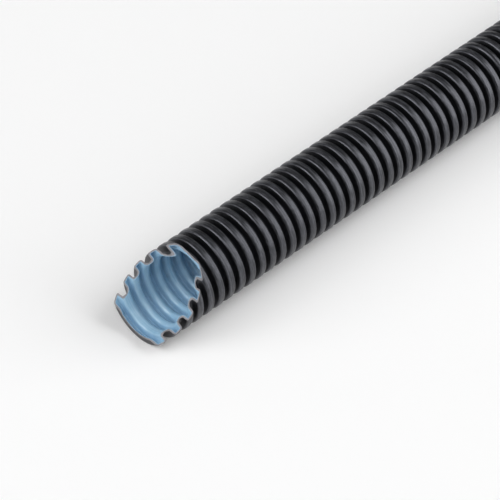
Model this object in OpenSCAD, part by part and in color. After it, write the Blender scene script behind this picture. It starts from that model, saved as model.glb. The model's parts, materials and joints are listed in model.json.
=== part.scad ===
// Flexible corrugated conduit, one cut length of the stock, lying along X on a level floor.
// A black ringed wall and a thin light-blue layer inside it were extruded together as one tube.
// One end was cut off at a slant, up from the foot of its tip ring, and the other end square, in a groove.

/* [Stock] */
// Outside diameter over the rings, the size that the conduit is sold by
outer_d = 25; // [20:0.1:40]
// Length of the piece, which ends in the groove nearest to it
stock_length = 1000; // [200:10:1200]

/* [Rings] */
// Distance from one ring to the next
ring_pitch = 4.23; // [3.8:0.01:6]
// Width of a ring at half its height
ring_width = 2.6; // [2:0.05:2.8]
// Height of a ring above the groove beside it
ring_height = 2.6; // [1.8:0.05:3.2]
// Lean of a ring's sides, in degrees from square to the conduit
side_lean = 5; // [0:0.5:8]
// Radius of a ring's outer corners
ring_round = 0.6; // [0.2:0.05:0.8]
// Radius at the foot of a ring, in the groove
groove_round = 0.55; // [0.1:0.05:0.6]

/* [Wall] */
// Thickness of the black outer wall
wall = 0.38; // [0.3:0.02:0.5]
// Thickness of the light-blue layer inside the wall
liner = 0.14; // [0.1:0.01:0.2]

/* [Slanted end] */
// Slant of the cut, in degrees from square to the conduit
cut_slant = 45.5; // [5:0.5:50]
// Turn of the cut's short side about the conduit, in degrees from straight up
cut_turn = 9.5; // [-180:0.5:180]
// Distance along the conduit from the middle of the tip ring to where the cut crosses the axis
tip_to_cut = 6.6; // [0:0.1:12]
// Distance from the middle of the tip ring to the short square cut at the foot of that ring
tip_trim = 1.45; // [1.2:0.05:1.8]

/* [Hidden] */
outer_r = outer_d / 2;
// Steps of each rounded corner, and sides of the round surfaces
corner_steps = 2;
$fn = 96;
// The smallest radius that a corner keeps on the inside of a wall
least_round = 0.25;
// Share of a corner's radius from its corner point to where the rounding starts
corner_share = tan((90 - side_lean) / 2);

// The tip of the slanted end, with the middle of the tip ring at zero along X
tip_along = max(-tip_trim, tip_to_cut - outer_r * tan(cut_slant));
// Rings after the tip ring, and the middles of the grooves before the first ring and after the last
rings_after = round((stock_length + tip_along) / ring_pitch - 0.5);
tube_start = -ring_pitch / 2;
tube_end = (rings_after + 0.5) * ring_pitch;
mid_along = (tip_along + tube_end) / 2;
// Side of the blocks that take the slanted end off
block = 4 * outer_d;

// Half the width of a ring at radius r, on a surface that lies depth below the outside
function half_width(r, depth) =
    ring_width / 2 - depth / cos(side_lean) + (outer_r - ring_height / 2 - r) * tan(side_lean);

// Points of a rounded corner about a centre [along, radius], from one angle to another
function corner(centre, r, from, to) =
    [for (i = [0:corner_steps])
        let (a = from + (to - from) * i / corner_steps)
        centre + r * [cos(a), sin(a)]];

// Right half of one ring's section, from its top to the groove, as points [along, radius]
function half_ring(depth) =
    let (top = outer_r - depth)
    let (foot = outer_r - ring_height - depth)
    let (top_half = half_width(top, depth))
    let (foot_half = half_width(foot, depth))
    let (top_round = min(max(ring_round - depth, least_round), top_half / corner_share))
    let (foot_round = min(groove_round + depth, (ring_pitch / 2 - foot_half) / corner_share))
    let (top_along = top_half - top_round * corner_share)
    let (foot_along = foot_half + foot_round * corner_share)
    concat(
        corner([top_along, top - top_round], top_round, 90, side_lean),
        corner([foot_along, foot + foot_round], foot_round, 180 + side_lean, 270));

// A list of points in the other order
function reversed(points) = [for (i = [len(points) - 1:-1:0]) points[i]];

// One whole ring's section, with its middle at a place along the conduit
function ring(at, depth) =
    let (half = half_ring(depth))
    [for (p = reversed([for (q = half) [-q[0], q[1]]])) [at + p[0], p[1]],
     for (p = half) [at + p[0], p[1]]];

// The section of a whole surface that lies depth below the outside, from end to end
function surface_line(depth) =
    let (foot = outer_r - ring_height - depth)
    [[tube_start, foot],
     for (i = [0:rings_after]) each ring(i * ring_pitch, depth),
     [tube_end, foot]];

// Ringed tube between two depths below the outside, round the X axis
module ringed_tube(depth_out, depth_in) {
    section = concat(surface_line(depth_out), reversed(surface_line(depth_in)));
    rotate([0, 90, 0])
        rotate_extrude()
            polygon([for (p = section) [p[1], p[0]]]);
}

// A block that lies before zero along X
module block_before() {
    translate([-block, -block / 2, -block / 2])
        cube([block, block, block]);
}

// What a flat cut takes away that crosses the axis at a place along X
module flat_cut(along, slant) {
    translate([along, 0, 0])
        rotate([cut_turn, 0, 0])
            rotate([0, slant, 0])
                block_before();
}

// What the short square cut at the tip and the long slanted cut take away
module cut_off() {
    flat_cut(-tip_trim, 0);
    flat_cut(tip_to_cut, cut_slant);
}

// A layer of the conduit with its slanted end, in its place on the floor
module cut_layer(depth_out, depth_in) {
    translate([-mid_along, 0, outer_r])
        difference() {
            ringed_tube(depth_out, depth_in);
            cut_off();
        }
}

module outer_wall() {
    color("#26282b")
        cut_layer(0, wall);
}

module inner_layer() {
    color("#7fa8cc")
        cut_layer(wall, wall + liner);
}

outer_wall();
inner_layer();
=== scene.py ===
"""Looks of a flexible corrugated conduit, black outside and light blue inside, cut at a slant."""

from __future__ import annotations

import json
import logging
import math
from abc import ABC, abstractmethod
from collections.abc import Callable, Iterator
from contextlib import contextmanager
from dataclasses import dataclass
from enum import Enum
from typing import Any

import bmesh
import bpy
from mathutils import Matrix, Vector

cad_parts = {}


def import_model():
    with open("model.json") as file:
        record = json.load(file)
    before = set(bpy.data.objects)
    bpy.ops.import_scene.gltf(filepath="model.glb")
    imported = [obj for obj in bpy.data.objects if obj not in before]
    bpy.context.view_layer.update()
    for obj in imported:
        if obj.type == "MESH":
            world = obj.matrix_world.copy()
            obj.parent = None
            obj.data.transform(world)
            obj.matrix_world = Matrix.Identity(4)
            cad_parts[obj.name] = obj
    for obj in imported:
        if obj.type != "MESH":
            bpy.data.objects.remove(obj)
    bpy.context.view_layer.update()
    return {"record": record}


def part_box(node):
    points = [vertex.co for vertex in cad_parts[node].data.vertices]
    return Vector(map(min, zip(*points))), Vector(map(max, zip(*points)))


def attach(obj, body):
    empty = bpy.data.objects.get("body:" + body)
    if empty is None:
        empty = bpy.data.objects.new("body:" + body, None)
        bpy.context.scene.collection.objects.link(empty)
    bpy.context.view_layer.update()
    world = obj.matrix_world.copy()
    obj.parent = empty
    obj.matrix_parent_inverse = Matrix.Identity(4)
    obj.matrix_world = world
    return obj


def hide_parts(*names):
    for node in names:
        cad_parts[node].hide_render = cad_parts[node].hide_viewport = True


log = logging.getLogger("conduit")

Tree = bpy.types.NodeTree
Socket = bpy.types.NodeSocket

MM = 0.001
# How close to its place a point has to be to count as lying there
NEAR = 0.02 * MM
# How close two points have to be to become one
SAME_POINT = 0.002 * MM
# The attribute that tells how a face was made, and its two values
CUT_FACE = "cut_face"
KNIFE_MADE = 1.0
MOULD_MADE = 0.0
# Sockets of a colour Mix node, which share their names with its number sockets
MIX_FACTOR, MIX_A, MIX_B, MIX_RESULT = 0, 6, 7, 2


class Layer(Enum):
    """The two layers of the conduit, named as their nodes in the frame."""

    OUTER_WALL = "outer_wall"
    INNER_LAYER = "inner_layer"


class Pick(Enum):
    """What a selection in edit mode is made of."""

    EDGES = "EDGE"
    FACES = "FACE"


def linear(hex_colour: str) -> tuple[float, float, float, float]:
    """Turn an sRGB hex colour into the linear values that a shader takes.

    Args:
        hex_colour: Six hex digits after a number sign.

    Returns:
        Red, green, blue and an alpha of 1.
    """
    shares = [int(hex_colour[i : i + 2], 16) / 255 for i in (1, 3, 5)]
    red, green, blue = (c / 12.92 if c <= 0.04045 else ((c + 0.055) / 1.055) ** 2.4 for c in shares)
    return red, green, blue, 1.0


def add_node(
    tree: Tree,
    kind: str,
    settings: dict[str, object] | None = None,
    values: dict[str | int, object] | None = None,
    links: dict[str | int, Socket] | None = None,
) -> bpy.types.Node:
    """Add one node to a material or to the world.

    Args:
        tree: The node tree that it goes into.
        kind: Blender's name for the node.
        settings: Properties of the node itself, such as its operation.
        values: Constants for its input sockets.
        links: Output sockets of other nodes that feed its input sockets.

    Returns:
        The new node.
    """
    node = tree.nodes.new(kind)
    for name, value in (settings or {}).items():
        setattr(node, name, value)
    for socket, value in (values or {}).items():
        node.inputs[socket].default_value = value
    for socket, source in (links or {}).items():
        tree.links.new(source, node.inputs[socket])
    return node


def select_only(piece: bpy.types.Object) -> None:
    """Make one object the only selected one and the active one.

    Args:
        piece: The object.
    """
    bpy.ops.object.select_all(action="DESELECT")
    piece.select_set(True)
    bpy.context.view_layer.objects.active = piece


def apply_place() -> None:
    """Put the place, turn and scale of the selected object into its mesh."""
    bpy.ops.object.transform_apply(location=True, rotation=True, scale=True)


@contextmanager
def editing(piece: bpy.types.Object, pick: Pick) -> Iterator[None]:
    """Open one object in edit mode with nothing selected, and close it again.

    Args:
        piece: The object to edit.
        pick: Whether edges or faces are selected in it.

    Yields:
        Nothing, while the object is open.
    """
    select_only(piece)
    bpy.ops.object.mode_set(mode="EDIT")
    bpy.ops.mesh.select_mode(type=pick.value)
    bpy.ops.mesh.select_all(action="DESELECT")
    yield
    bpy.ops.object.mode_set(mode="OBJECT")


def pick_hoops(test: Callable[[Vector], bool]) -> None:
    """Select the edges that run round the tube and whose two ends both pass a test.

    Args:
        test: Says of a point whether it lies on a wanted hoop.
    """
    bpy.ops.mesh.select_mode(type=Pick.EDGES.value)
    bpy.ops.mesh.select_all(action="DESELECT")
    shape = bmesh.from_edit_mesh(bpy.context.object.data)
    for edge in shape.edges:
        first, second = edge.verts
        if abs(first.co.x - second.co.x) < NEAR and test(first.co) and test(second.co):
            edge.select_set(True)
    bmesh.update_edit_mesh(bpy.context.object.data)


def pick_faces(test: Callable[[Vector], bool]) -> None:
    """Select the faces whose middle passes a test.

    Args:
        test: Says of a face's middle whether the face is wanted.
    """
    bpy.ops.mesh.select_mode(type=Pick.FACES.value)
    bpy.ops.mesh.select_all(action="DESELECT")
    shape = bmesh.from_edit_mesh(bpy.context.object.data)
    for face in shape.faces:
        if test(face.calc_center_median()):
            face.select_set(True)
    bmesh.update_edit_mesh(bpy.context.object.data)


def mark_faces(piece: bpy.types.Object, made_by: float) -> None:
    """Note on all faces of an object how they were made.

    Args:
        piece: The object.
        made_by: KNIFE_MADE or MOULD_MADE.
    """
    attribute = piece.data.attributes.new(CUT_FACE, "FLOAT", "FACE")
    attribute.data.foreach_set("value", [made_by] * len(piece.data.polygons))


def apply_boolean(piece: bpy.types.Object, cutter: bpy.types.Object) -> None:
    """Cut one object out of another and remove the cutter.

    Args:
        piece: The object that is cut.
        cutter: The object that is taken away from it.
    """
    select_only(piece)
    bpy.ops.object.modifier_add(type="BOOLEAN")
    cut = piece.modifiers[-1]
    cut.operation = "DIFFERENCE"
    cut.solver = "EXACT"
    cut.object = cutter
    bpy.ops.object.modifier_apply(modifier=cut.name)
    bpy.data.objects.remove(cutter)


@dataclass(frozen=True)
class RingProfile:
    """Section of a ring. Every ring of the conduit has the same one."""

    outer_radius: float
    pitch: float = 4.23 * MM
    width: float = 2.6 * MM
    height: float = 2.6 * MM
    lean: float = math.radians(5)
    crest_round: float = 0.6 * MM
    groove_round: float = 0.55 * MM
    least_round: float = 0.25 * MM

    def half_width(self, radius: float, depth: float) -> float:
        """Half the width of a ring at one radius.

        Args:
            radius: Distance from the conduit's axis.
            depth: How far below the outside the surface lies.

        Returns:
            Distance along the axis from the ring's middle to its side.
        """
        rise = self.outer_radius - self.height / 2 - radius
        return self.width / 2 - depth / math.cos(self.lean) + rise * math.tan(self.lean)

    def corner_reach(self, rounding: float) -> float:
        """Distance from a ring's sharp corner to where a rounding of that radius starts."""
        return rounding * math.tan((math.pi / 2 - self.lean) / 2)


@dataclass(frozen=True)
class Fineness:
    """How finely a ring is modelled: its sides, and the steps of its rounded corners.

    Corners with no steps stay sharp.
    """

    sides: int
    crest_steps: int
    groove_steps: int


@dataclass(frozen=True)
class Stretch:
    """A run of like rings."""

    rings: int
    fineness: Fineness


@dataclass(frozen=True)
class RingedSkin:
    """One surface of the tube, at a depth below the outside, open at both ends."""

    name: str
    profile: RingProfile
    depth: float
    first_ring: float
    stretches: tuple[Stretch, ...]
    # A narrow band in a groove where two stretches of different fineness meet
    seam: float = 0.1 * MM

    def radius_of(self, point: Vector) -> float:
        """Distance of a point from the conduit's axis."""
        return math.hypot(point.y, point.z - self.profile.outer_radius)

    def build(self) -> bpy.types.Object:
        """Model all stretches and bridge each to the next.

        Returns:
            The skin as one open tube.
        """
        at = self.first_ring
        skin = self._row(at, self.stretches[0])
        for done, stretch in zip(self.stretches, self.stretches[1:]):
            at += done.rings * self.profile.pitch
            skin = self._bridge(skin, self._row(at, stretch), at - self.profile.pitch / 2)
        skin.name = self.name
        return skin

    def _ring(self, at: float, fineness: Fineness) -> bpy.types.Object:
        """Model one ring with half a groove on either side.

        Args:
            at: Place of the ring's middle along the axis.
            fineness: Number of sides and steps.

        Returns:
            The ring, as an open hoop.
        """
        profile = self.profile
        top = profile.outer_radius - self.depth
        foot = top - profile.height
        top_half = profile.half_width(top, self.depth)
        foot_half = profile.half_width(foot, self.depth)
        crest_round = max(profile.crest_round - self.depth, profile.least_round)
        groove_round = profile.groove_round + self.depth
        bpy.ops.object.select_all(action="DESELECT")
        bpy.ops.mesh.primitive_cylinder_add(
            vertices=fineness.sides,
            radius=foot,
            depth=profile.pitch,
            end_fill_type="NOTHING",
            location=(at, 0, profile.outer_radius),
            rotation=(0, math.pi / 2, 0),
        )
        apply_place()
        ring = bpy.context.object
        with editing(ring, Pick.FACES):
            for side in (-1, 1):
                bpy.ops.mesh.select_all(action="SELECT")
                bpy.ops.mesh.bisect(plane_co=(at + side * foot_half, 0, 0), plane_no=(1, 0, 0))
            pick_faces(lambda middle: abs(middle.x - at) < foot_half)
            bpy.ops.mesh.extrude_region()
            bpy.ops.transform.resize(
                value=(top_half / foot_half, top / foot, top / foot),
                center_override=(at, 0, profile.outer_radius),
            )
            corners = (
                (top_half, top, crest_round, fineness.crest_steps),
                (foot_half, foot, groove_round, fineness.groove_steps),
            )
            for half, radius, rounding, steps in corners:
                if steps:
                    pick_hoops(
                        lambda point: abs(abs(point.x - at) - half) < NEAR
                        and abs(self.radius_of(point) - radius) < NEAR
                    )
                    reach = profile.corner_reach(rounding)
                    bpy.ops.mesh.bevel(offset=reach, segments=steps, affect="EDGES")
        return ring

    def _row(self, at: float, stretch: Stretch) -> bpy.types.Object:
        """Repeat one ring along a stretch and melt the seams between the copies.

        Args:
            at: Place of the first ring's middle along the axis.
            stretch: Number of rings, and their fineness.

        Returns:
            The stretch, as an open tube.
        """
        row = self._ring(at, stretch.fineness)
        select_only(row)
        bpy.ops.object.modifier_add(type="ARRAY")
        array = row.modifiers[-1]
        array.use_relative_offset = False
        array.use_constant_offset = True
        array.constant_offset_displace = (self.profile.pitch, 0, 0)
        array.count = stretch.rings
        array.use_merge_vertices = True
        array.merge_threshold = SAME_POINT
        bpy.ops.object.modifier_apply(modifier=array.name)

        def on_seam(point: Vector) -> bool:
            """Tell whether two copies meet at a point.

            Args:
                point: A point of the stretch.

            Returns:
                True in the middle of a groove, but not at an end of the stretch.
            """
            rings_before = (point.x - at) / self.profile.pitch + 0.5
            nearest = round(rings_before)
            in_groove_middle = abs(rings_before - nearest) * self.profile.pitch < NEAR
            return in_groove_middle and 0 < nearest < stretch.rings

        with editing(row, Pick.EDGES):
            pick_hoops(on_seam)
            bpy.ops.mesh.dissolve_edges()
        return row

    def _bridge(
        self, done: bpy.types.Object, more: bpy.types.Object, at: float
    ) -> bpy.types.Object:
        """Join the next stretch on, across a narrow band in the groove.

        Args:
            done: The tube so far.
            more: The next stretch.
            at: Place along the axis where they meet.

        Returns:
            The longer tube.
        """
        with editing(done, Pick.EDGES):
            pick_hoops(lambda point: abs(point.x - at) < NEAR)
            bpy.ops.transform.translate(value=(-self.seam, 0, 0))
        more.select_set(True)
        bpy.ops.object.join()
        with editing(done, Pick.EDGES):
            pick_hoops(lambda point: at - self.seam - NEAR < point.x < at + NEAR)
            bpy.ops.mesh.bridge_edge_loops()
        return done


@dataclass(frozen=True)
class Wander:
    """A place where the knife left the flat of its long cut.

    It lies across that cut and up its slope from the axis. Its depth is how far the knife went in
    there, or stayed out where it is negative, and the swell fades out within its reach.
    """

    across: float
    up: float
    depth: float
    reach: float


@dataclass(frozen=True)
class SlantedCut:
    """The near end as a knife left it.

    It has a short square cut at the foot of the tip ring, and a long slanted one.
    """

    axis_height: float
    tip_ring: float
    turn: float = math.radians(9.5)
    slant: float = math.radians(45.5)
    # From the tip ring's middle, along the axis, on to the long cut and back to the short one
    tip_to_cut: float = 6.6 * MM
    tip_trim: float = 1.45 * MM
    wanders: tuple[Wander, ...] = (
        Wander(across=-8.6 * MM, up=13.2 * MM, depth=-1.12 * MM, reach=7.0 * MM),
        Wander(across=-5.9 * MM, up=10.9 * MM, depth=1.33 * MM, reach=4.5 * MM),
    )
    # Side of the block that each cut takes away, and the subdivisions that the swells of its face need
    block: float = 50 * MM
    face_cuts: int = 49

    def apply(self, piece: bpy.types.Object) -> None:
        """Cut the end off a piece.

        Args:
            piece: A closed tube that reaches past the cut.
        """
        mark_faces(piece, MOULD_MADE)
        apply_boolean(piece, self._block(-self.tip_trim, 0.0, ()))
        apply_boolean(piece, self._block(self.tip_to_cut, self.slant, self.wanders))
        # Faces of more than four sides are split here, so that each edge still joins just two triangles
        with editing(piece, Pick.FACES):
            bpy.ops.mesh.select_face_by_sides(number=4, type="GREATER")
            bpy.ops.mesh.quads_convert_to_tris(quad_method="BEAUTY", ngon_method="BEAUTY")

    def _block(
        self, from_tip_ring: float, slant: float, wanders: tuple[Wander, ...]
    ) -> bpy.types.Object:
        """Model what one cut takes away.

        Args:
            from_tip_ring: Where the cut crosses the axis, from the tip ring's middle.
            slant: Its angle from square to the conduit.
            wanders: Where the knife left its flat.

        Returns:
            A block in its place, whose end face is the cut.
        """
        bpy.ops.object.select_all(action="DESELECT")
        bpy.ops.mesh.primitive_cube_add(size=self.block, location=(-self.block / 2, 0, 0))
        apply_place()
        block = bpy.context.object
        if wanders:
            self._swell(block, wanders)
        mark_faces(block, KNIFE_MADE)
        crossing = Matrix.Translation((self.tip_ring + from_tip_ring, 0, self.axis_height))
        turned = Matrix.Rotation(self.turn, 4, "X") @ Matrix.Rotation(slant, 4, "Y")
        block.matrix_world = crossing @ turned
        apply_place()
        return block

    def _swell(self, block: bpy.types.Object, wanders: tuple[Wander, ...]) -> None:
        """Swell a block's end face where the knife wandered.

        Args:
            block: The block, which ends at the origin.
            wanders: Where the knife left the flat of that face.
        """
        cell = self.block / (self.face_cuts + 1)
        with editing(block, Pick.FACES):
            pick_faces(lambda point: abs(point.x) < NEAR)
            bpy.ops.mesh.subdivide(number_cuts=self.face_cuts)
            for wander in wanders:
                pick_faces(
                    lambda point: math.hypot(point.y - wander.across, point.z - wander.up) < cell
                )
                bpy.ops.transform.translate(
                    value=(wander.depth, 0, 0),
                    use_proportional_edit=True,
                    proportional_edit_falloff="SMOOTH",
                    proportional_size=wander.reach,
                )


@dataclass(frozen=True)
class Patterns:
    """Sockets of a finish's node tree that its colour, roughness and relief are worked out from."""

    tree: Tree
    place: Socket
    cut: Socket
    grain: Socket
    lines: Socket


@dataclass(frozen=True, kw_only=True)
class Finish(ABC):
    """A satin plastic with fine lines round each ring, which is matt where a knife went through it."""

    name: str
    slot: str
    ior: float
    sheen_tint: str = "#ffffff"
    roughness: float
    roughness_spread: float
    cut_roughness: float = 0.6
    # The real lines are too fine to show, so they are drawn as coarse as they need to be
    line_spacing: float
    line_depth: float
    # Ever finer layers of noise in the lines and in the grain
    line_detail: float = 2.0
    grain_detail: float = 3.0
    # The sum of grain and lines at which the colour starts to get paler, and at which it is palest
    pale_from: float
    pale_full: float

    def material(self) -> bpy.types.Material:
        """Make the material.

        Returns:
            The finished material.
        """
        material = bpy.data.materials.new(self.name)
        material.use_nodes = True
        tree = material.node_tree
        place = add_node(tree, "ShaderNodeTexCoord").outputs["Object"]
        cut = add_node(tree, "ShaderNodeAttribute", {"attribute_name": CUT_FACE}).outputs["Fac"]
        patterns = Patterns(tree, place, cut, self._grain(tree, place), self._lines(tree, place))
        shader = tree.nodes["Principled BSDF"]
        shader.inputs["IOR"].default_value = self.ior
        shader.inputs["Specular Tint"].default_value = linear(self.sheen_tint)
        tree.links.new(self._colour(patterns), shader.inputs["Base Color"])
        tree.links.new(self._roughness(patterns), shader.inputs["Roughness"])
        tree.links.new(self._relief(patterns), shader.inputs["Normal"])
        return material

    @abstractmethod
    def _grain(self, tree: Tree, place: Socket) -> Socket:
        """Draw the finish's own uneven pattern.

        Args:
            tree: The material's node tree.
            place: Object coordinates.

        Returns:
            A value from 0 to 1.
        """

    @abstractmethod
    def _colour(self, patterns: Patterns) -> Socket:
        """Mix the colours of whole and of cut faces.

        Args:
            patterns: What the colours vary by.

        Returns:
            The base colour.
        """

    @abstractmethod
    def _heights(self, patterns: Patterns) -> tuple[tuple[Socket, float], ...]:
        """List the patterns that stand out from the surface.

        Args:
            patterns: All patterns of the finish.

        Returns:
            Each height, from 0 to 1, with its depth in metres.
        """

    def _lines(self, tree: Tree, place: Socket) -> Socket:
        """Draw fine uneven lines that run round the tube.

        Args:
            tree: The material's node tree.
            place: Object coordinates.

        Returns:
            A value from 0 to 1 that changes only along the tube.
        """
        along = add_node(tree, "ShaderNodeSeparateXYZ", links={0: place}).outputs["X"]
        return add_node(
            tree,
            "ShaderNodeTexNoise",
            {"noise_dimensions": "1D"},
            {"Scale": 1 / self.line_spacing, "Detail": self.line_detail},
            {"W": along},
        ).outputs["Fac"]

    def _paleness(self, patterns: Patterns) -> Socket:
        """Find where grain and lines together make the colour paler.

        Args:
            patterns: The grain and the lines.

        Returns:
            A value from 0 to 1.
        """
        both = add_node(
            patterns.tree,
            "ShaderNodeMath",
            {"operation": "ADD"},
            links={0: patterns.grain, 1: patterns.lines},
        ).outputs["Value"]
        return add_node(
            patterns.tree,
            "ShaderNodeMapRange",
            values={"From Min": self.pale_from, "From Max": self.pale_full},
            links={"Value": both},
        ).outputs["Result"]

    def _roughness(self, patterns: Patterns) -> Socket:
        """Vary the roughness by the grain, and make cut faces matt.

        Args:
            patterns: The grain and the cut faces.

        Returns:
            The roughness.
        """
        lowest = self.roughness - self.roughness_spread / 2
        uneven = add_node(
            patterns.tree,
            "ShaderNodeMath",
            {"operation": "MULTIPLY_ADD"},
            {1: self.roughness_spread, 2: lowest},
            {0: patterns.grain},
        ).outputs["Value"]
        return add_node(
            patterns.tree,
            "ShaderNodeMapRange",
            values={"To Max": self.cut_roughness},
            links={"Value": patterns.cut, "To Min": uneven},
        ).outputs["Result"]

    def _relief(self, patterns: Patterns) -> Socket:
        """Stack bumps of a real depth.

        Args:
            patterns: The heights.

        Returns:
            The bumped normal.
        """
        links = {}
        for height, depth in self._heights(patterns):
            links["Height"] = height
            bump = add_node(patterns.tree, "ShaderNodeBump", values={"Distance": depth}, links=links)
            links = {"Normal": bump.outputs["Normal"]}
        return links["Normal"]


@dataclass(frozen=True, kw_only=True)
class BlackPolypropylene(Finish):
    """Black polypropylene, formed against cold ring moulds: satin and faintly grained.

    The eye gets soft grey sheens and pale scuffs on the crests, and near black in the grooves. Where
    a knife went through, the plastic is stressed to a pale grey.
    """

    outer_radius: float
    name: str = "black_polypropylene"
    slot: str = "black_wall"
    dark: str = "#070809"
    scuffed: str = "#4b4d52"
    cut: str = "#484749"
    stressed: str = "#9d9a9c"
    sheen_tint: str = "#f0f2ff"
    ior: float = 1.62
    roughness: float = 0.36
    roughness_spread: float = 0.12
    line_spacing: float = 0.6 * MM
    line_depth: float = 0.04 * MM
    # The mould's grain runs round the ring, and it too is drawn coarser than the real one, to show
    grain_width: float = 0.45 * MM
    grain_length: float = 1.6 * MM
    grain_depth: float = 0.02 * MM
    # Strength of each finer layer of the grain, as a share of the one before
    grain_fading: float = 0.6
    # Scuffs start this far below the crests' tops
    scuff_height: float = 1.0 * MM
    pale_from: float = 0.9
    pale_full: float = 1.4
    # Stressed patches on a cut face
    patch_size: float = 1.6 * MM

    def _grain(self, tree: Tree, place: Socket) -> Socket:
        """Draw the grain of the mould, drawn out round the rings.

        Args:
            tree: The material's node tree.
            place: Object coordinates.

        Returns:
            A value from 0 to 1.
        """
        in_grains = add_node(
            tree,
            "ShaderNodeVectorMath",
            {"operation": "MULTIPLY"},
            {1: (1 / self.grain_width, 1 / self.grain_length, 1 / self.grain_length)},
            {0: place},
        ).outputs["Vector"]
        return add_node(
            tree,
            "ShaderNodeTexNoise",
            values={"Scale": 1.0, "Detail": self.grain_detail, "Roughness": self.grain_fading},
            links={"Vector": in_grains},
        ).outputs["Fac"]

    def _colour(self, patterns: Patterns) -> Socket:
        """Scuff the black crests, and stress cut faces in patches.

        Args:
            patterns: What the colours vary by.

        Returns:
            The base colour.
        """
        tree = patterns.tree
        scuffs = add_node(
            tree,
            "ShaderNodeMath",
            {"operation": "MULTIPLY"},
            links={0: self._paleness(patterns), 1: self._crests(patterns)},
        ).outputs["Value"]
        wall_colour = add_node(
            tree,
            "ShaderNodeMix",
            {"data_type": "RGBA"},
            {MIX_A: linear(self.dark), MIX_B: linear(self.scuffed)},
            {MIX_FACTOR: scuffs},
        ).outputs[MIX_RESULT]
        patches = add_node(
            tree,
            "ShaderNodeTexNoise",
            values={"Scale": 1 / self.patch_size, "Detail": self.grain_detail},
            links={"Vector": patterns.place},
        ).outputs["Fac"]
        cut_colour = add_node(
            tree,
            "ShaderNodeMix",
            {"data_type": "RGBA"},
            {MIX_A: linear(self.cut), MIX_B: linear(self.stressed)},
            {MIX_FACTOR: patches},
        ).outputs[MIX_RESULT]
        return add_node(
            tree,
            "ShaderNodeMix",
            {"data_type": "RGBA"},
            links={MIX_FACTOR: patterns.cut, MIX_A: wall_colour, MIX_B: cut_colour},
        ).outputs[MIX_RESULT]

    def _heights(self, patterns: Patterns) -> tuple[tuple[Socket, float], ...]:
        """List the grain and the lines with their depths."""
        return (patterns.grain, self.grain_depth), (patterns.lines, self.line_depth)

    def _crests(self, patterns: Patterns) -> Socket:
        """Tell the crests, which rub against things, from the grooves.

        Args:
            patterns: The place on the conduit.

        Returns:
            A value that is 1 on the crests and 0 in the grooves.
        """
        from_axis = add_node(
            patterns.tree,
            "ShaderNodeVectorMath",
            {"operation": "MULTIPLY_ADD"},
            {1: (0, 1, 1), 2: (0, 0, -self.outer_radius)},
            {0: patterns.place},
        ).outputs["Vector"]
        radius = add_node(
            patterns.tree,
            "ShaderNodeVectorMath",
            {"operation": "LENGTH"},
            links={0: from_axis},
        ).outputs["Value"]
        return add_node(
            patterns.tree,
            "ShaderNodeMapRange",
            values={"From Min": self.outer_radius - self.scuff_height, "From Max": self.outer_radius},
            links={"Value": radius},
        ).outputs["Result"]


@dataclass(frozen=True, kw_only=True)
class BlueSlipLayer(Finish):
    """Light-blue polyolefin with a slip additive, extruded inside the black wall.

    It never touches the mould, so the eye gets a smooth waxy blue, with faint clouds in it and faint
    lines along the flow round each ridge.
    """

    name: str = "blue_slip_polyolefin"
    slot: str = "blue_layer"
    deep: str = "#90bad6"
    light: str = "#abcee6"
    cut: str = "#86a6bd"
    ior: float = 1.5
    roughness: float = 0.22
    roughness_spread: float = 0.1
    line_spacing: float = 0.55 * MM
    line_depth: float = 0.05 * MM
    cloud_size: float = 6 * MM
    pale_from: float = 0.7
    pale_full: float = 1.3

    def _grain(self, tree: Tree, place: Socket) -> Socket:
        """Draw clouds where the additive is thicker.

        Args:
            tree: The material's node tree.
            place: Object coordinates.

        Returns:
            A value from 0 to 1.
        """
        return add_node(
            tree,
            "ShaderNodeTexNoise",
            values={"Scale": 1 / self.cloud_size, "Detail": self.grain_detail},
            links={"Vector": place},
        ).outputs["Fac"]

    def _colour(self, patterns: Patterns) -> Socket:
        """Cloud the blue, and dull it on cut faces.

        Args:
            patterns: What the colours vary by.

        Returns:
            The base colour.
        """
        layer_colour = add_node(
            patterns.tree,
            "ShaderNodeMix",
            {"data_type": "RGBA"},
            {MIX_A: linear(self.deep), MIX_B: linear(self.light)},
            {MIX_FACTOR: self._paleness(patterns)},
        ).outputs[MIX_RESULT]
        return add_node(
            patterns.tree,
            "ShaderNodeMix",
            {"data_type": "RGBA"},
            {MIX_B: linear(self.cut)},
            {MIX_FACTOR: patterns.cut, MIX_A: layer_colour},
        ).outputs[MIX_RESULT]

    def _heights(self, patterns: Patterns) -> tuple[tuple[Socket, float], ...]:
        """List the lines with their depth."""
        return ((patterns.lines, self.line_depth),)


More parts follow.
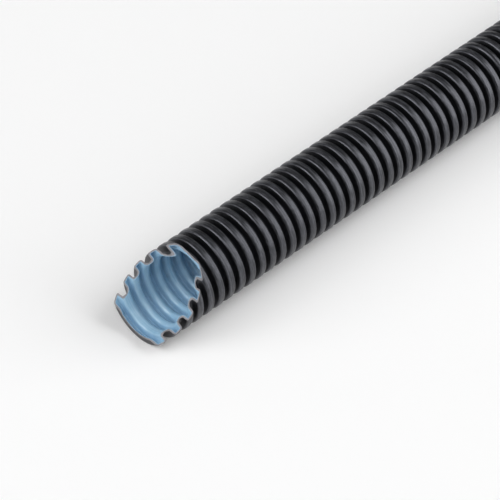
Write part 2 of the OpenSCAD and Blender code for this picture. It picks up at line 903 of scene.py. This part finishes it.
@dataclass(frozen=True)
class Conduit:
    """The conduit: two layers extruded together as one tube, and the slanted cut that shows both."""

    profile: RingProfile
    cut: SlantedCut
    rings_after: int
    end: float
    wall: float = 0.38 * MM
    liner: float = 0.14 * MM
    # Rings that show well at the slanted end, outside and into the mouth, and at the square end
    rings_shown: int = 35
    rings_seen_inside: int = 13
    end_rings_shown: int = 5
    end_rings_seen_inside: int = 8
    smooth_below: float = math.radians(50)
    # How far the cut tip ring gapes, and to which side, turned from straight down
    gape: float = 0.9 * MM
    gape_turn: float = math.radians(-35)
    # Width of the groove bottom that gives where it gapes
    gape_groove: float = 1.2 * MM

    @classmethod
    def from_frame(cls, record: dict[str, Any]) -> Conduit:
        """Take the conduit's place and size from the frame.

        Args:
            record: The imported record, with the pin mount of the rings' outside.

        Returns:
            The conduit, ready to build.
        """
        pin = next(mount for mount in record["mounts"] if mount["kind"] == "pin")
        profile = RingProfile(outer_radius=pin["dims"]["r_mm"] * MM)
        low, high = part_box(Layer.OUTER_WALL.value)
        rings_after = math.floor((high.x - low.x) / profile.pitch)
        tip_ring = high.x - (rings_after + 0.5) * profile.pitch
        return cls(profile, SlantedCut(profile.outer_radius, tip_ring), rings_after, high.x)

    def build(self, layer: Layer) -> bpy.types.Object:
        """Model one layer as a closed solid between two skins, with the slanted end cut.

        Args:
            layer: Which of the two layers.

        Returns:
            The layer's mesh object.
        """
        bond = self._bond_skin()
        other = self._outside_skin() if layer is Layer.OUTER_WALL else self._inside_skin()
        piece = self._close(layer, other, bond)
        self.cut.apply(piece)
        self._mark_square_end(piece)
        self._smooth(piece)
        self._gape_tip(piece)
        self._flatten_crests(piece)
        piece.name = piece.data.name = layer.value + "_finished"
        return piece

    def dress(self, piece: bpy.types.Object, layer: Layer, finish: Finish) -> None:
        """Give a layer its material and tie it to the frame.

        Args:
            piece: The layer's mesh object.
            layer: Which of the two layers.
            finish: Its finish.
        """
        piece.data.materials.clear()
        piece.data.materials.append(finish.material())
        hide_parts(layer.value)
        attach(piece, "root")

    def _skin(
        self, name: str, depth: float, mouth: Stretch, plain: Fineness, square_end: Stretch
    ) -> bpy.types.Object:
        """Model one skin from end to end.

        Args:
            name: Name of the skin.
            depth: How far below the outside it lies.
            mouth: The rings at the slanted end.
            plain: Fineness of the long stretch between the ends.
            square_end: The rings at the square end.

        Returns:
            The skin as an open tube.
        """
        rings_between = 1 + self.rings_after - mouth.rings - square_end.rings
        stretches = (mouth, Stretch(rings_between, plain), square_end)
        return RingedSkin(name, self.profile, depth, self.cut.tip_ring, stretches).build()

    def _outside_skin(self) -> bpy.types.Object:
        """Model the black outside.

        Returns:
            An open tube.
        """
        return self._skin(
            "outside_skin",
            0.0,
            Stretch(self.rings_shown, Fineness(sides=64, crest_steps=3, groove_steps=1)),
            Fineness(sides=34, crest_steps=1, groove_steps=0),
            Stretch(self.end_rings_shown, Fineness(sides=48, crest_steps=2, groove_steps=2)),
        )

    def _bond_skin(self) -> bpy.types.Object:
        """Model the hidden surface where the two layers are bonded.

        Returns:
            An open tube.
        """
        return self._skin(
            "bond_skin",
            self.wall,
            Stretch(self.rings_seen_inside, Fineness(sides=64, crest_steps=2, groove_steps=2)),
            Fineness(sides=20, crest_steps=0, groove_steps=0),
            Stretch(self.end_rings_seen_inside, Fineness(sides=48, crest_steps=1, groove_steps=1)),
        )

    def _inside_skin(self) -> bpy.types.Object:
        """Model the light-blue inside.

        Returns:
            An open tube.
        """
        return self._skin(
            "inside_skin",
            self.wall + self.liner,
            Stretch(self.rings_seen_inside, Fineness(sides=64, crest_steps=3, groove_steps=3)),
            Fineness(sides=20, crest_steps=1, groove_steps=0),
            Stretch(self.end_rings_seen_inside, Fineness(sides=48, crest_steps=2, groove_steps=2)),
        )

    def _close(
        self, layer: Layer, skin: bpy.types.Object, bond: bpy.types.Object
    ) -> bpy.types.Object:
        """Join two skins and bridge their ends, with all faces pointing out of the wall.

        Args:
            layer: Which of the two layers.
            skin: The skin that shows.
            bond: The skin where the layers meet.

        Returns:
            One closed solid.
        """
        begin = self.cut.tip_ring - self.profile.pitch / 2
        inner_side = bond if layer is Layer.OUTER_WALL else skin
        with editing(inner_side, Pick.FACES):
            bpy.ops.mesh.select_all(action="SELECT")
            bpy.ops.mesh.flip_normals()
        select_only(skin)
        bond.select_set(True)
        bpy.ops.object.join()
        with editing(skin, Pick.EDGES):
            for at in (begin, self.end):
                pick_hoops(lambda point: abs(point.x - at) < NEAR)
                bpy.ops.mesh.bridge_edge_loops()
        return skin

    def _mark_square_end(self, piece: bpy.types.Object) -> None:
        """Note the square end's faces as made by a knife too.

        Args:
            piece: The layer's mesh object.
        """
        marks = piece.data.attributes[CUT_FACE].data
        for face, mark in zip(piece.data.polygons, marks):
            if self.end - face.center.x < NEAR:
                mark.value = KNIFE_MADE

    def _smooth(self, piece: bpy.types.Object) -> None:
        """Shade a layer smooth, and keep the rims of its cut faces sharp.

        Args:
            piece: The layer's mesh object.
        """
        cut = [mark.value == KNIFE_MADE for mark in piece.data.attributes[CUT_FACE].data]
        select_only(piece)
        bpy.ops.object.shade_smooth_by_angle(angle=self.smooth_below)
        with editing(piece, Pick.FACES):
            shape = bmesh.from_edit_mesh(piece.data)
            for face, is_cut in zip(shape.faces, cut):
                face.select_set(is_cut)
            bmesh.update_edit_mesh(piece.data)
            bpy.ops.mesh.region_to_loop()
            bpy.ops.mesh.mark_sharp()

    def _gape_tip(self, piece: bpy.types.Object) -> None:
        """Tilt the tip ring open a little, as the groove behind it gave under the knife.

        Args:
            piece: The layer's mesh object.
        """
        hinge = self.cut.tip_ring + (self.profile.pitch + self.gape_groove) / 2
        for vertex in piece.data.vertices:
            share = min((hinge - vertex.co.x) / self.gape_groove, 1.0)
            if share > 0:
                eased = share * share * (3 - 2 * share)
                up = vertex.co.z - self.profile.outer_radius
                side = up * math.cos(self.gape_turn) + vertex.co.y * math.sin(self.gape_turn)
                openness = (1 - side / self.profile.outer_radius) / 2
                vertex.co.x -= self.gape * openness * eased

    def _flatten_crests(self, piece: bpy.types.Object) -> None:
        """Let wide faces rule the shading, so that crests look flat between rounded corners.

        Args:
            piece: The layer's mesh object.
        """
        select_only(piece)
        bpy.ops.object.modifier_add(type="WEIGHTED_NORMAL")
        weighting = piece.modifiers[-1]
        weighting.keep_sharp = True
        bpy.ops.object.modifier_apply(modifier=weighting.name)


@dataclass(frozen=True)
class Softbox:
    """A soft light with a plain radiance, at which a white floor renders about as it is written."""

    name: str
    towards: tuple[float, float, float]
    radiance: float
    width: float
    height: float
    roll: float = 0.0
    distance: float = 2.0
    # Whether it shows in sheens alone, and adds no light to the floor or to a surface's own colour
    sheen_only: bool = False

    def place(self, target: Vector) -> None:
        """Hang the light where it faces the target.

        Args:
            target: The point that it faces.
        """
        direction = Vector(self.towards).normalized()
        aim = direction.to_track_quat("Z", "Y").to_matrix() @ Matrix.Rotation(self.roll, 3, "Z")
        bpy.ops.object.light_add(
            type="AREA", location=target + direction * self.distance, rotation=aim.to_euler()
        )
        lamp = bpy.context.object
        lamp.name = self.name
        lamp.data.shape = "RECTANGLE"
        lamp.data.size = self.width
        lamp.data.size_y = self.height
        lamp.data.energy = self.radiance * math.pi * self.width * self.height
        lamp.visible_diffuse = not self.sheen_only


@dataclass(frozen=True)
class Studio:
    """Plain pale floor, soft lights and the camera at the photograph's viewing angle."""

    floor_colour: str = "#fbfbfb"
    floor_side: float = 12.0
    softboxes: tuple[Softbox, ...] = (
        Softbox(
            "front_softbox",
            towards=(0.70, -0.57, 0.43),
            radiance=3.35,
            width=1.6,
            height=2.8,
            roll=math.radians(-29),
        ),
        Softbox(
            "left_softbox",
            towards=(-0.55, -0.06, 0.83),
            radiance=2.2,
            width=3.2,
            height=1.1,
        ),
        Softbox(
            "edge_light",
            towards=(-0.76, 0.50, 0.42),
            radiance=5.5,
            width=1.2,
            height=0.5,
        ),
        Softbox(
            "sheen_light",
            towards=(-0.81, 0.32, 0.45),
            radiance=10.0,
            width=1.6,
            height=0.3,
            sheen_only=True,
        ),
    )
    # The point on the conduit that the lights face, from the tip ring
    lit_from_tip: float = 60 * MM
    # Light of the room: share of white at the horizon, part of the way up and overhead
    room_light: tuple[tuple[float, float], ...] = ((0.0, 0.14), (0.45, 0.12), (0.8, 0.2))
    # The camera, from the tip ring's middle on the axis, and its lens for a 36 mm wide sensor
    camera_from_tip: tuple[float, float, float] = (-262.09 * MM, -330.51 * MM, 482.66 * MM)
    view: tuple[float, float, float] = (0.4598, 0.4968, -0.7361)
    lens_mm: float = 154.9
    sensor_mm: float = 36.0

    def build(self, tip: Vector) -> None:
        """Set the stage.

        Args:
            tip: Middle of the tip ring, on the conduit's axis.
        """
        self._floor()
        self._room()
        for softbox in self.softboxes:
            softbox.place(tip + Vector((self.lit_from_tip, 0, 0)))
        self._camera(tip)

    def _floor(self) -> None:
        """Lay a floor like matt white paper, which takes the conduit's soft shadow."""
        bpy.ops.object.select_all(action="DESELECT")
        bpy.ops.mesh.primitive_plane_add(size=self.floor_side, location=(0, 0, 0))
        floor = bpy.context.object
        floor.name = "studio_floor"
        material = bpy.data.materials.new("white_paper_floor")
        material.use_nodes = True
        shader = material.node_tree.nodes["Principled BSDF"]
        shader.inputs["Base Color"].default_value = linear(self.floor_colour)
        shader.inputs["Roughness"].default_value = 1.0
        shader.inputs["Specular IOR Level"].default_value = 0.0
        floor.data.materials.append(material)

    def _room(self) -> None:
        """Light the room all round, a little more from overhead."""
        world = bpy.data.worlds.new("studio_room")
        bpy.context.scene.world = world
        world.use_nodes = True
        tree = world.node_tree
        direction = add_node(tree, "ShaderNodeTexCoord").outputs["Generated"]
        height = add_node(tree, "ShaderNodeSeparateXYZ", links={0: direction}).outputs["Z"]
        ramp = add_node(tree, "ShaderNodeValToRGB", links={"Fac": height})
        steps = ramp.color_ramp.elements
        while len(steps) < len(self.room_light):
            steps.new(1.0)
        for step, (at, share) in zip(steps, self.room_light):
            step.position = at
            step.color = (share, share, share, 1.0)
        tree.links.new(ramp.outputs["Color"], tree.nodes["Background"].inputs["Color"])

    def _camera(self, tip: Vector) -> None:
        """Place the camera at the photograph's viewing angle.

        Args:
            tip: Middle of the tip ring, on the conduit's axis.
        """
        bpy.ops.object.camera_add(
            location=tip + Vector(self.camera_from_tip),
            rotation=Vector(self.view).to_track_quat("-Z", "Y").to_euler(),
        )
        camera = bpy.context.object
        camera.name = "camera"
        camera.data.lens = self.lens_mm
        camera.data.sensor_width = self.sensor_mm
        bpy.context.scene.camera = camera


def main() -> None:
    """Build the conduit, dress it and set the stage."""
    logging.basicConfig(level=logging.INFO, format="%(message)s")
    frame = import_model()
    bpy.context.scene.view_settings.view_transform = "Standard"
    conduit = Conduit.from_frame(frame["record"])
    finishes = {
        Layer.OUTER_WALL: BlackPolypropylene(outer_radius=conduit.profile.outer_radius),
        Layer.INNER_LAYER: BlueSlipLayer(),
    }
    for layer, finish in finishes.items():
        piece = conduit.build(layer)
        conduit.dress(piece, layer, finish)
        triangles = sum(len(face.vertices) - 2 for face in piece.data.polygons)
        log.info("%s: %d triangles, %s", piece.name, triangles, finish.name)
    Studio().build(tip=Vector((conduit.cut.tip_ring, 0, conduit.profile.outer_radius)))


if __name__ == "__main__":
    main()
